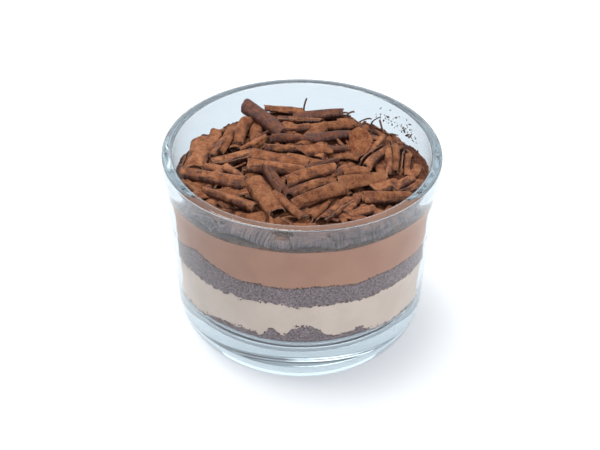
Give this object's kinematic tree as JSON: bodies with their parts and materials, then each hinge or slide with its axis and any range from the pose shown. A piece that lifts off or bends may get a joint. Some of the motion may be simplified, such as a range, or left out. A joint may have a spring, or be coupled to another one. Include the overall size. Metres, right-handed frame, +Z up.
{
  "type": "layered chocolate mousse dessert in a glass cup",
  "caption": "Chocolate mousse dessert in a clear thick-based glass cup: cocoa sponge, vanilla cream, sponge and mousse in layers under a loose heap of cocoa-dusted chocolate curls.",
  "frame": {"origin": "centre of the cup's foot, on the surface that it stands on", "axes": "+Z up along the cup's axis, -Y towards the side that the curls are piled towards"},
  "size_m": [0.085, 0.085, 0.063],
  "materials": {
    "clear_glass": "clear polished soda glass",
    "cocoa_sponge": "dark crumbly sponge, matte",
    "vanilla_cream": "smooth pale cream, soft sheen",
    "chocolate_mousse": "smooth milk-brown mousse, matte",
    "dusted_chocolate": "chocolate curls dusted with cocoa, matte"
  },
  "bodies": {
    "root": {"glass": "clear_glass", "crumb_base": "cocoa_sponge", "cream": "vanilla_cream", "sponge": "cocoa_sponge", "mousse": "chocolate_mousse", "curl_heap": "dusted_chocolate"}
  },
  "joints": []
}
